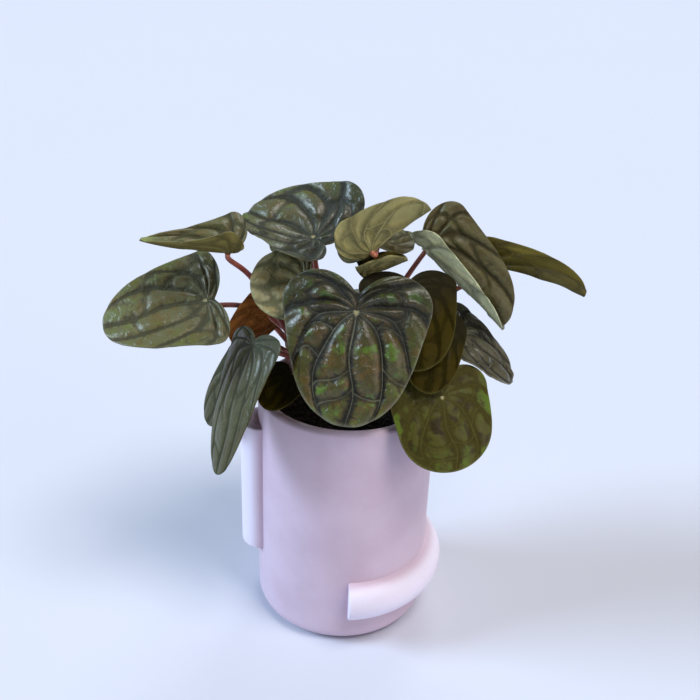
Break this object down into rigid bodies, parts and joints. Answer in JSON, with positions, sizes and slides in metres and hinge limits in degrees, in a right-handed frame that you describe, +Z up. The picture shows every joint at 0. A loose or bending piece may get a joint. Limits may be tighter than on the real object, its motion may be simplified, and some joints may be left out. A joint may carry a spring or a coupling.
{
  "type": "potted peperomia plant",
  "caption": "House plant with heart-shaped, deeply veined leaves on red stalks, rooted in soil in a tall round ceramic pot with raised half-round bars.",
  "frame": {"origin": "middle of the pot's flat base, on the surface that it stands on", "axes": "+Z up along the pot's axis, -Y towards the front of the plant, +X to the right as seen from the front"},
  "size_m": [0.2222, 0.1282, 0.2201],
  "materials": {
    "pot": "matt pale lilac-grey glaze",
    "soil": "dark crumbly potting soil",
    "stalks": "smooth dull red",
    "leaf_grey": "grey-green leaf with a soft bluish gloss and sunken veins",
    "leaf_olive": "olive green leaf, softly glossy, with sunken veins",
    "leaf_brown": "brown-olive leaf, softly glossy, with sunken veins",
    "leaf_red": "dark red-brown leaf seen from below"
  },
  "bodies": {
    "root": {"pot": "pot", "soil": "soil", "crown_and_stalks": "stalks", "leaf_front": "leaf_grey", "leaf_front_low": "leaf_olive", "leaf_right_upper": "leaf_brown", "leaf_right_inner": "leaf_brown", "leaf_right_small": "leaf_grey", "leaf_right_trough": "leaf_brown", "leaf_right_far": "leaf_olive", "leaf_top_right": "leaf_olive", "leaf_top_inner": "leaf_brown", "leaf_top": "leaf_grey", "leaf_left_trough": "leaf_olive", "leaf_left_far": "leaf_grey", "leaf_left_shade": "leaf_olive", "leaf_left_red": "leaf_red", "leaf_left_hanging": "leaf_grey", "leaf_left_behind": "leaf_grey", "leaf_left_low": "leaf_brown", "leaf_back_right_low": "leaf_olive", "leaf_back_right": "leaf_olive", "leaf_right_back": "leaf_grey", "leaf_back_low": "leaf_grey", "leaf_back": "leaf_grey", "leaf_back_left_low": "leaf_olive", "leaf_back_left": "leaf_grey", "leaf_back_upper_left": "leaf_grey", "leaf_back_upper_right": "leaf_olive"}
  },
  "joints": []
}
